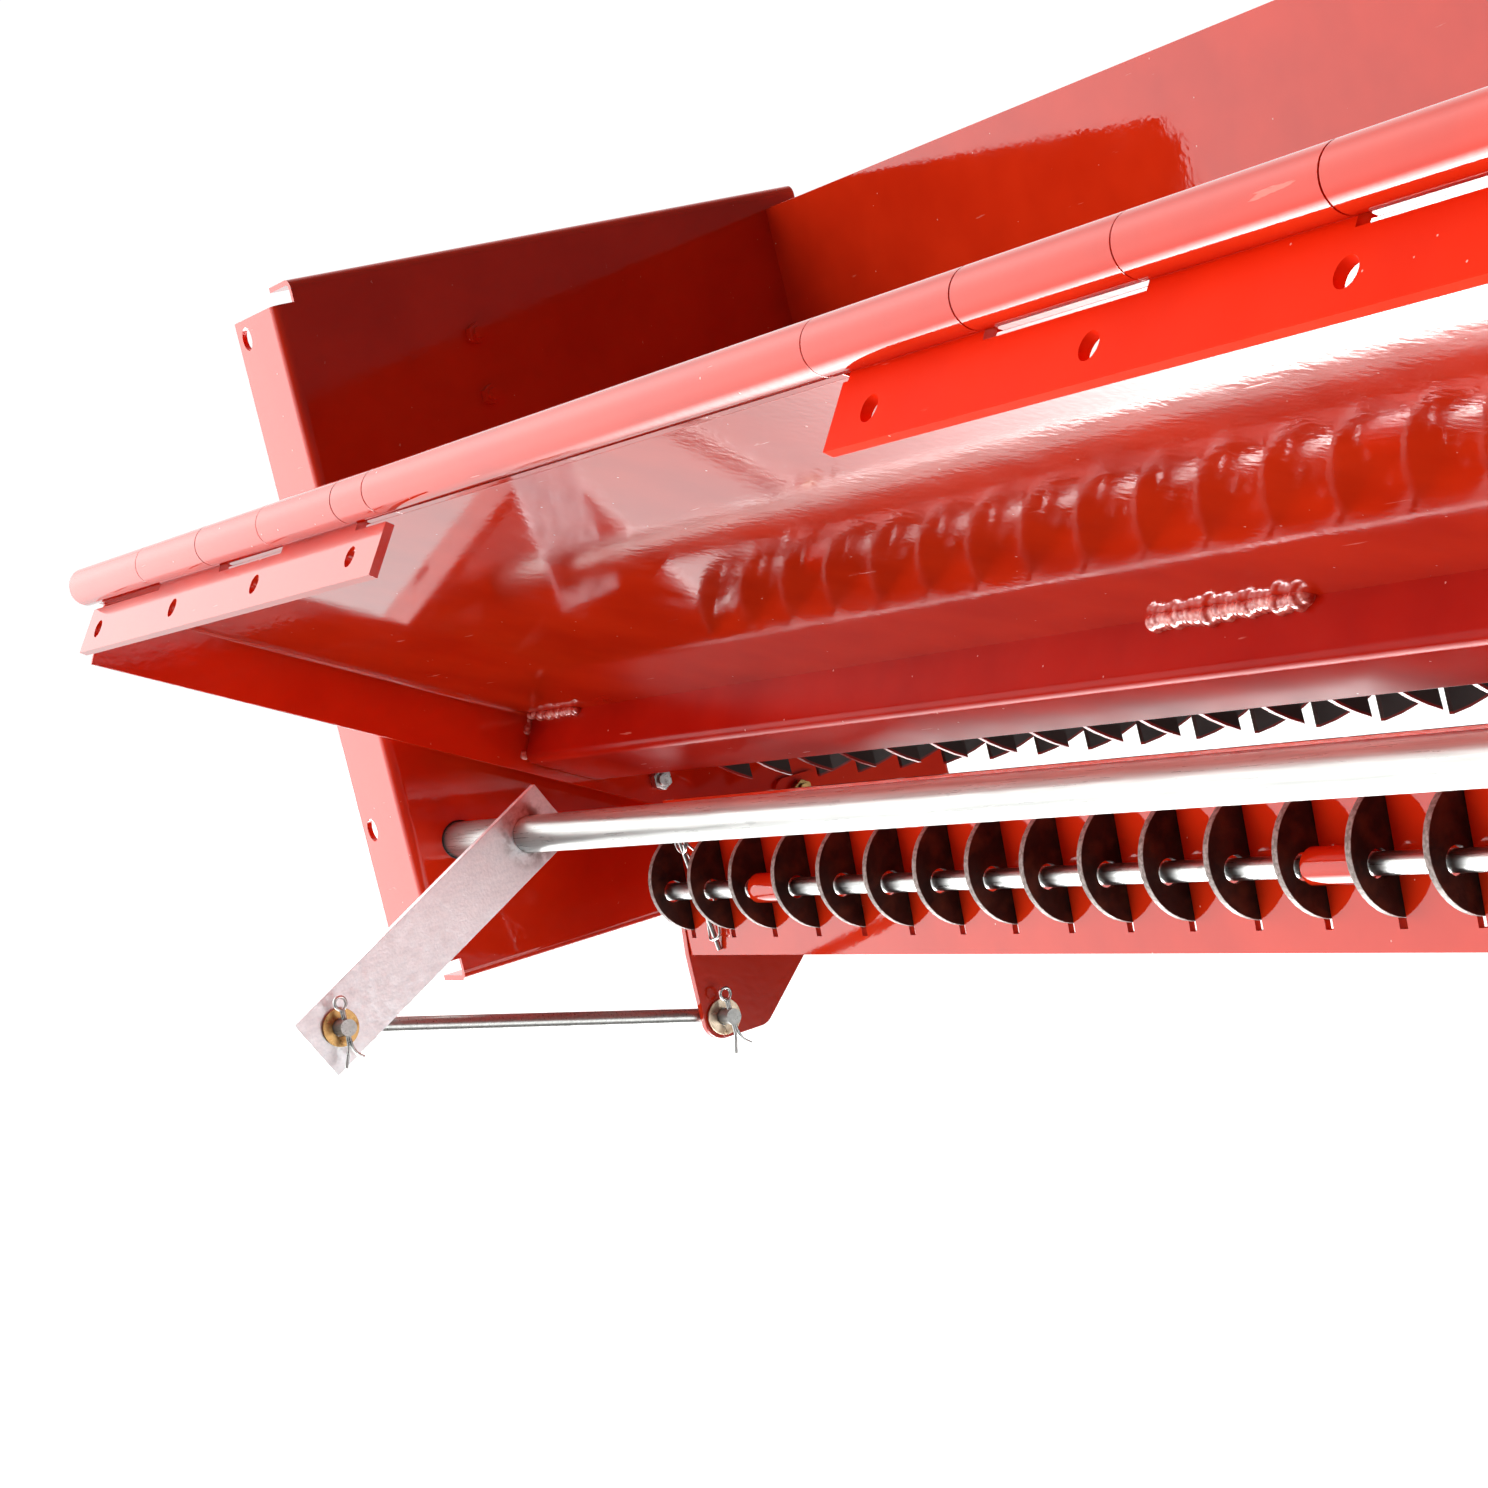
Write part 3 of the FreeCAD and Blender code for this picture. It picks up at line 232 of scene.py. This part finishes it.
def satin_red():
    """The same enamel sprayed thinner on the long leaf's bar, so it is flatter, more orange and more even."""
    return red_enamel("satin_red", gloss=0.55, colour="EC2A02", shade="E42502", specular=0.03)


def shaded_folded_red():
    """The enamel on the folded stiffener, thinner so it mirrors the room less, with a darker red that is painted
    shade.
    """
    # Darker red than the pan's enamel: painted shade on the stiffener.
    return red_enamel("shaded_folded_red", gloss=0.22, colour="B81D0C", shade="A81507", specular=0.05)


def weld_enamel():
    """Enamel run over a weld: gloss and pooled, with pale pink patches scattered over it as a painted highlight.
    """
    material, tree, shader = finish("weld_enamel", "D63A28", Roughness=0.2, Coat_Weight=0.8, Coat_Roughness=0.05)
    place = object_place(tree)
    # Noise mask for the pale pink patches below: painted highlight on the weld.
    painted_highlight_patches = cloud(tree, place, 0.007, 0.42, 0.6, detail=4.0)
    grain = add_node(tree, "ShaderNodeTexNoise", {"Vector": place, "Scale": 1 / 0.003, "Detail": 4.0})
    surface(tree, shader, layered(tree, "C8402E", (painted_highlight_patches, 1.0, "EE8A7A")), grain.outputs["Fac"], 0.0005)
    return material


def worn_flight():
    """Auger flight scoured by grain: dull brown-grey steel, its outer edge painted dark red as a painted
    reflection of the red underside above it.
    """
    material, tree, shader = finish("worn_flight", "3C2A25", Specular_IOR_Level=0.3, IOR=1.5)
    place = object_place(tree)
    brown = cloud(tree, place, 0.06, 0.35, 0.7)
    # Mask of the flight's outer edge, coloured dark red below: painted reflection of the red underside, not
    # enamel.
    reflecting_rim = add_node(tree, "ShaderNodeMapRange", {
        "Value": from_axis(tree, AUGER), "From Min": 0.1435, "From Max": 0.1445,
    }).outputs[0]
    red = layered(tree, "6E0C05", (cloud(tree, place, 0.02, 0.3, 0.6), 1.0, "9C1A0E"))
    tone = layered(tree, "3A2A26", (brown, 1.0, "28130E"), (reflecting_rim, 1.0, red))
    scour = add_node(tree, "ShaderNodeTexNoise", {"Vector": place, "Scale": 1 / 0.004, "Detail": 3.0})
    rough = cloud(tree, place, 0.03, 0.3, 0.7, out=(0.3, 0.5))
    surface(tree, shader, tone, scour.outputs["Fac"], 0.0001, rough)
    return material


def zinc_tube():
    """Bright zinc on drawn tube: pale grey, soft reflections drawn out along the tube, fine scuffs."""
    material, tree, shader = finish("zinc_tube", "B4B5B3", Metallic=0.65)
    drawn = object_place(tree, (1, 30, 30))
    lines = cloud(tree, drawn, 0.08, 0.35, 0.7, detail=5.0)
    marks = cloud(tree, object_place(tree, (20, 60, 60)), 0.6, 0.66, 0.7, detail=6.0)
    tone = layered(tree, "BABCB9", (lines, 1.0, "A4A6A3"), (marks, 0.5, "8F9090"))
    surface(tree, shader, tone, lines, 0.00002, cloud(tree, drawn, 0.05, 0.3, 0.7, out=(0.26, 0.36)))
    return material


def galvanised_arm():
    """Hot-dip zinc on sawn flat bar: matt pale grey with a fine frosted grain, streaked along the bar,
    and scorched brown-grey where the tube was welded on."""
    material, tree, shader = finish("galvanised_arm", "DDE0E2", Metallic=0.85)
    place = object_place(tree)
    grain = cloud(tree, place, 0.0025, 0.3, 0.7, detail=2.0)
    lean = (math.radians(-27.45), 0, 0)
    along = cloud(tree, object_place(tree, (1, 6, 70), lean), 0.2, 0.35, 0.7, detail=5.0)
    near_tube = add_node(tree, "ShaderNodeMapRange", {
        "Value": from_axis(tree, TUBE_CENTRE), "From Min": 0.017, "From Max": 0.034,
        "To Min": 1.0, "To Max": 0.0,
    }).outputs[0]
    scorch = cloud(tree, place, 0.012, 0.42, 0.6, detail=5.0)
    frost, streaks, burn = (grain, 1.0, "F4F6F8"), (along, 0.4, "FBFCFD"), (near_tube, scorch, "8C8380")
    tone = layered(tree, "E4E8EC", frost, streaks, burn)
    surface(tree, shader, tone, grain, 0.00005, cloud(tree, place, 0.01, 0.3, 0.7, out=(0.42, 0.56)))
    return material


def bright_zinc(name="bright_zinc", colour="D6D8D6", dark="9FA19F"):
    """Electroplated zinc on bolts, nuts and pins: silvery, slightly cloudy, with dull patches."""
    material, tree, shader = finish(name, colour, Metallic=1.0)
    place = object_place(tree)
    patches = cloud(tree, place, 0.009, 0.45, 0.68, detail=4.0)
    rough = cloud(tree, place, 0.006, 0.3, 0.7, out=(0.22, 0.4))
    surface(tree, shader, layered(tree, colour, (patches, 1.0, dark)), patches, 0.00003, rough)
    return material


def yellow_zinc():
    """Yellow-passivated zinc: brassy gold with brown and straw clouds."""
    return bright_zinc("yellow_zinc", "C9A168", "8A6238")


def pale_washer():
    """A zinc washer faded to beige, with darker brown traces of rust here and there."""
    return bright_zinc("pale_washer", "D5C3AC", "A98F74")


def mill_scale():
    """Hot-rolled plate discs, uncoated: brown-black scale with rust bloom, and a dull cut edge of uncoated
    steel, made paler still as a painted reflection of the white room.
    """
    material, tree, shader = finish("mill_scale", "3A2A24", Specular_IOR_Level=0.3, IOR=1.5)
    place = object_place(tree)
    bloom = cloud(tree, place, 0.018, 0.45, 0.7, detail=6.0)
    patches = cloud(tree, place, 0.03, 0.35, 0.65)
    # The cut edge in pale grey: partly uncoated steel, partly painted reflection of the white room.
    reflecting_rim = add_node(tree, "ShaderNodeMapRange", {
        "Value": from_axis(tree, DISC_CENTRE), "From Min": 0.0462, "From Max": 0.0468,
    }).outputs[0]
    nicks = cloud(tree, place, 0.003, 0.4, 0.6, detail=4.0)
    bare_steel_and_reflection = layered(tree, "7C706A", (nicks, 1.0, "A89E98"))
    tone = layered(tree, "40302A", (patches, 1.0, "281C18"), (bloom, 0.7, "6B4331"), (reflecting_rim, 1.0, bare_steel_and_reflection))
    surface(tree, shader, tone, nicks, 0.00008, cloud(tree, place, 0.01, 0.3, 0.7, out=(0.36, 0.55)))
    return material


def bright_bar():
    """Cold-drawn bar: clean steel with long fine draw lines and the odd grey rub mark."""
    material, tree, shader = finish("bright_bar", "CCCECB", Metallic=1.0)
    drawn = object_place(tree, (1, 40, 40))
    lines = cloud(tree, drawn, 0.08, 0.35, 0.7, detail=4.0)
    rubs = cloud(tree, object_place(tree), 0.012, 0.6, 0.72, detail=4.0)
    tone = layered(tree, "D2D4D1", (lines, 1.0, "B2B4B3"), (rubs, 0.6, "8E8A86"))
    surface(tree, shader, tone, lines, 0.00002, cloud(tree, drawn, 0.05, 0.3, 0.7, out=(0.26, 0.38)))
    return material


def grey_casting():
    """Painted cast iron bearing housing: dark grey, sandy and matt."""
    material, tree, shader = finish("grey_casting", "50545A", Roughness=0.55)
    place = object_place(tree)
    sand = cloud(tree, place, 0.002, 0.3, 0.7, detail=4.0)
    tone = layered(tree, "555A60", (cloud(tree, place, 0.03, 0.4, 0.7), 1.0, "43474C"))
    surface(tree, shader, tone, sand, 0.0004)
    return material


def black_nylon():
    """Moulded black nylon bush: satin, with a fine tool-marked surface and pale rub marks."""
    material, tree, shader = finish("black_nylon", "171716", IOR=1.53)
    place = object_place(tree)
    rubbed = cloud(tree, place, 0.008, 0.55, 0.75, detail=4.0)
    tone = layered(tree, "171716", (rubbed, 0.3, "4A4946"))
    surface(tree, shader, tone, rubbed, 0.00003, cloud(tree, place, 0.004, 0.3, 0.7, out=(0.32, 0.48)))
    return material


# ---------------------------------------------------------------- finished copies of the CAD solids
def edit(action, *arguments, **options):
    """Runs one edit-mode operator on the active object, with everything in it selected."""
    bpy.ops.object.mode_set(mode="EDIT")
    bpy.ops.mesh.select_all(action="SELECT")
    action(*arguments, **options)
    bpy.ops.object.mode_set(mode="OBJECT")


def select_only(item):
    bpy.ops.object.select_all(action="DESELECT")
    item.select_set(True)
    bpy.context.view_layer.objects.active = item


def apply_modifier(item, kind, **settings):
    modifier = item.modifiers.new(kind.lower(), kind)
    for name, value in settings.items():
        setattr(modifier, name, value)
    bpy.ops.object.modifier_apply(modifier=modifier.name)


def attach(piece, material, body, node=None):
    """Gives a piece its finish, the body it moves with, and the CAD solid it stands for."""
    piece.data.materials.clear()
    piece.data.materials.append(material)
    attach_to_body(piece, body)
    if node:
        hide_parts(node)


def finished(node, material, round_mm):
    """A merged copy of a CAD solid, with its edges broken by a small round, that stands for it."""
    source = NODES[node]
    piece = bpy.data.objects.new(f"{node}_finished", source.data.copy())
    bpy.context.scene.collection.objects.link(piece)
    select_only(piece)
    edit(bpy.ops.mesh.remove_doubles, threshold=0.002 * MM)
    bpy.ops.mesh.customdata_custom_splitnormals_clear()
    if round_mm:
        edit(bpy.ops.mesh.dissolve_limited, angle_limit=math.radians(0.4))
        apply_modifier(piece, "BEVEL", width=round_mm * MM, segments=2, limit_method="ANGLE",
                       angle_limit=math.radians(40), miter_outer="MITER_ARC")
    bpy.ops.object.shade_smooth_by_angle(angle=math.radians(38))
    if round_mm:
        apply_modifier(piece, "WEIGHTED_NORMAL", keep_sharp=True)
    attach(piece, material, BODY_OF[node], node)
    return piece


def finish_solids(looks):
    """Every CAD solid, with its finish and how far its edges are rounded, in mm."""
    for name in SIDES:
        for part, look, round_mm in (
            ("end_plate", "enamel", 0.8), ("comb_bracket", "enamel", 0.8), ("pivot_hanger", "enamel", 0.8),
            ("cover_bolts", "enamel", 0.5), ("pan_spacers", "enamel", 0.8), ("lever_arm", "arm", 0.6),
            ("link_rod", "tube", 0), ("bearing_bolts", "zinc", 0.5), ("pan_bolts", "zinc", 0.4),
            ("bracket_washer", "pale", 0.4), ("lever_washer", "yellow", 0.4), ("hanger_bolt", "yellow", 0.5),
            ("stub_shaft", "bar", 0.5), ("bearing_insert", "bar", 0.3), ("bearing_housing", "casting", 1.0),
            ("adjusting_bush", "nylon", 0.5), ("pivot_bush", "nylon", 0.5),
        ):
            finished(f"{part}_{name}", looks[look], round_mm)
    finished("hinge_leaf_left", looks["enamel"], 0.6)
    right_leaf = finished("hinge_leaf_right", looks["enamel"], 0.6)
    right_leaf.data.materials.append(looks["satin"])
    for face in right_leaf.data.polygons:
        face.material_index = 1 if (face.center - HINGE_CENTRE).yz.length > BARREL_REACH else 0
    for node, look, round_mm in (
        ("front_pan", "enamel", 0.5), ("pan_stiffener", "folded", 0), ("rear_trough", "enamel", 0.5),
        ("pan_hinge_tube", "enamel", 0.5), ("comb_plate", "enamel", 0.5), ("comb_rib", "enamel", 0.5),
        ("comb_pivot_tube", "enamel", 0.5), ("auger_tube", "enamel", 0.5), ("rod_bosses", "enamel", 0.6),
        ("auger_flight", "flight", 0), ("adjusting_tube", "tube", 0.5), ("breaker_discs", "scale", 0.5),
        ("disc_rod", "bar", 0.8), ("hinge_pin", "bar", 0.8),
    ):
        finished(node, looks[look], round_mm)


# ---------------------------------------------------------------- welds
def blob_run(name, path, size, spread, seed):
    """A weld: a run of overlapping drops along path, melted into one skin. Sizes are in mm."""
    draw = random.Random(seed)
    drops = []
    for place, run_frame in path:
        bpy.ops.object.select_all(action="DESELECT")
        jitter = Vector((0, draw.uniform(-spread, spread), draw.uniform(-spread, spread)))
        bpy.ops.mesh.primitive_uv_sphere_add(segments=16, ring_count=10, radius=draw.uniform(*size) * MM)
        drop = bpy.context.object
        spot = Matrix.Translation((place + jitter) * MM)
        drop.matrix_world = run_frame @ spot @ Matrix.Diagonal((0.8, 1.2, 0.9, 1))
        drops.append(drop)
    bpy.ops.object.select_all(action="DESELECT")
    for drop in drops:
        drop.select_set(True)
    bpy.context.view_layer.objects.active = drops[0]
    if len(drops) > 1:
        bpy.ops.object.join()
    bead = bpy.context.object
    bead.name = name
    bpy.ops.object.transform_apply(location=True, rotation=True, scale=True)
    apply_modifier(bead, "REMESH", mode="VOXEL", voxel_size=min(size) * MM / 6, use_smooth_shade=True)
    apply_modifier(bead, "SMOOTH", factor=0.5, iterations=3)
    return bead


def pressed_under(bead, sheet_frame):
    """Flattens what of a weld would come out through the top of the sheet it sits under."""
    back = sheet_frame.inverted()
    for vertex in bead.data.vertices:
        spot = back @ vertex.co
        spot.z = min(spot.z, 1.0 * MM)
        vertex.co = sheet_frame @ spot


def pan_welds(material):
    """Short fillet welds between the pan and its stiffener: one at each end and a heavy one mid-width."""
    runs = {"weld_pan_left": (-1064, -968), "weld_pan_middle": (-85, 72), "weld_pan_right": (968, 1064)}
    for index, (name, (low, high)) in enumerate(runs.items()):
        heavy = name == "weld_pan_middle"
        pitch = 6.0 if heavy else 4.5
        steps = round((high - low) / pitch)
        draw = random.Random(20 + index)
        path = []
        for i in range(steps + 1):
            x = low + (high - low) * i / steps
            path.append((Vector((x, -2.5, -2.5 + draw.uniform(-1.2, 1.2))), PAN))
        bead = blob_run(name, path, (7.0, 9.0) if heavy else (3.4, 5.6), 0.9, 3 + index)
        pressed_under(bead, PAN)
        attach(bead, material, "frame")


def end_welds(material):
    """Tack welds down the stiffener's open ends, on the inner face of the pan's end flanges."""
    for name, side in SIDES.items():
        spots = [(-1.5, -5), (-1.5, -9), (-1.5, -13), (-1.5, -17), (-1, -36), (-1, -40)]
        path = [(Vector((1069 * side, along, down)), PAN) for along, down in spots]
        bead = blob_run(f"weld_stiffener_{name}", path, (2.6, 3.8), 0.8, 31 + side)
        pressed_under(bead, PAN)
        attach(bead, material, "frame")


def ring_path(ring_frame, x, radius, start, end, count):
    """Places round a bar along X, from start to end in degrees."""
    path = []
    for i in range(count):
        angle = math.radians(start + (end - start) * i / (count - 1))
        path.append((Vector((x, radius * math.cos(angle), radius * math.sin(angle))), ring_frame))
    return path


def arm_welds(material):
    """A weld round the back of each arm, where the adjusting tube passes through it."""
    for name, side in SIDES.items():
        path = ring_path(LEVER, 959.5 * side, 18, 20, 340, 34)
        bead = blob_run(f"weld_arm_{name}", path, (1.9, 2.6), 0.5, 43 + side)
        attach(bead, material, BODY_OF["adjusting_tube"])


# ---------------------------------------------------------------- pins and clip
def wire(name, points, radius):
    """Round wire along a smooth line through the frame, made a mesh with closed ends. Points in mm."""
    bpy.ops.object.select_all(action="DESELECT")
    bpy.ops.curve.primitive_nurbs_path_add()
    item = bpy.context.object
    item.name = name
    curve = item.data
    curve.splines.clear()
    spline = curve.splines.new("NURBS")
    spline.points.add(len(points) - 1)
    for point, place in zip(spline.points, points):
        point.co = (*(place * MM), 1)
    spline.order_u = 3
    spline.use_endpoint_u = True
    spline.resolution_u = 6
    curve.bevel_depth = radius * MM
    curve.bevel_resolution = 4
    curve.use_fill_caps = True
    select_only(item)
    bpy.ops.object.convert(target="MESH")
    return bpy.context.object


def into(item, place):
    """Moves a new piece's mesh to its place in the row frame."""
    item.data.transform(place)
    item.location = (0, 0, 0)
    return item


def joined(name, items):
    """Several pieces made one."""
    bpy.ops.object.select_all(action="DESELECT")
    for item in items:
        item.select_set(True)
    bpy.context.view_layer.objects.active = items[0]
    bpy.ops.object.join()
    piece = bpy.context.object
    piece.name = name
    return piece


def split_pin(lean):
    """A split pin, upright: an eye above, two legs below, spread and curled."""
    eye = [(0, 15), (-3.4, 17), (-5.6, 21), (-4.4, 26), (0, 27.5), (4.4, 26), (5.6, 21), (3.4, 17), (0, 15)]
    legs = [
        [(-0.8, 16), (-0.8, 6), (-0.8, -12), (-2.2, -20), (-5.5, -27), (-7.5, -34)],
        [(0.8, 16), (0.8, 6), (0.8, -12), (2.0, -19), (5.0, -25), (10.5, -29)],
    ]
    parts = []
    for i, line in enumerate([eye, *legs]):
        places = [Vector((0.4 * i, y + lean * max(0, -z) / 30, z)) for y, z in line]
        parts.append(wire("split_pin_wire", places, 1.5))
    return parts


def split_pins(material):
    """Both split pins of each link rod: through the rod's ends, outside the arm and the bracket."""
    for name, side in SIDES.items():
        parts = []
        for (y, z), lean in zip(PIN_PLACES.values(), (-1.5, 3.0)):
            for part in split_pin(lean):
                parts.append(into(part, Matrix.Translation(AUGER + Vector((936 * side, y, z)) * MM)))
        piece = joined(f"split_pins_{name}_bent", parts)
        select_only(piece)
        bpy.ops.object.shade_smooth_by_angle(angle=math.radians(50))
        attach(piece, material, BODY_OF[f"split_pins_{name}"], f"split_pins_{name}")


def snap_pin(material):
    """The disc rod's snap pin: a straight leg, a two-turn coil eye, and a bail snapped over the leg's foot."""
    leg = wire("snap_leg", [Vector((0, 0, z)) for z in (-58, -50, 0, 30, 54)], 2.3)
    turns = []
    for i in range(33):
        angle = 2 * math.pi * i / 16
        turns.append(Vector((8 * math.cos(angle), 1.8 - 3.6 * i / 32, 45 + 8 * math.sin(angle))))
    coil = wire("snap_coil", turns, 1.2)
    behind = 9.8
    half = [(8, 2, 45), (10, 3, 40), (10, behind, 32), (10, behind, 6), (10, behind - 1, -4), (10, 2, -38)]
    round_foot = [(9, 0, -45), (4, -3.4, -46.5), (0, -4, -47)]
    side = [Vector(place) for place in half + round_foot]
    mirror = [Vector((-place.x, place.y, place.z)) for place in reversed(side[:-1])]
    bail = wire("snap_bail", side + mirror, 1.2)
    piece = joined("rod_clip_wire", [leg, coil, bail])
    into(piece, CLIP @ Matrix.Translation((-889.5 * MM, 0, 0)))
    select_only(piece)
    bpy.ops.object.shade_smooth_by_angle(angle=math.radians(50))
    attach(piece, material, "comb", "rod_clip")


camera()
studio()
LOOKS = {
    "enamel": red_enamel(), "satin": satin_red(), "folded": shaded_folded_red(), "arm": galvanised_arm(),
    "tube": zinc_tube(), "zinc": bright_zinc(), "pale": pale_washer(), "yellow": yellow_zinc(),
    "bar": bright_bar(),
    "casting": grey_casting(), "nylon": black_nylon(), "flight": worn_flight(), "scale": mill_scale(),
    "weld": weld_enamel(),
}
finish_solids(LOOKS)
pan_welds(LOOKS["weld"])
end_welds(LOOKS["weld"])
arm_welds(LOOKS["arm"])
split_pins(LOOKS["zinc"])
snap_pin(LOOKS["bar"])
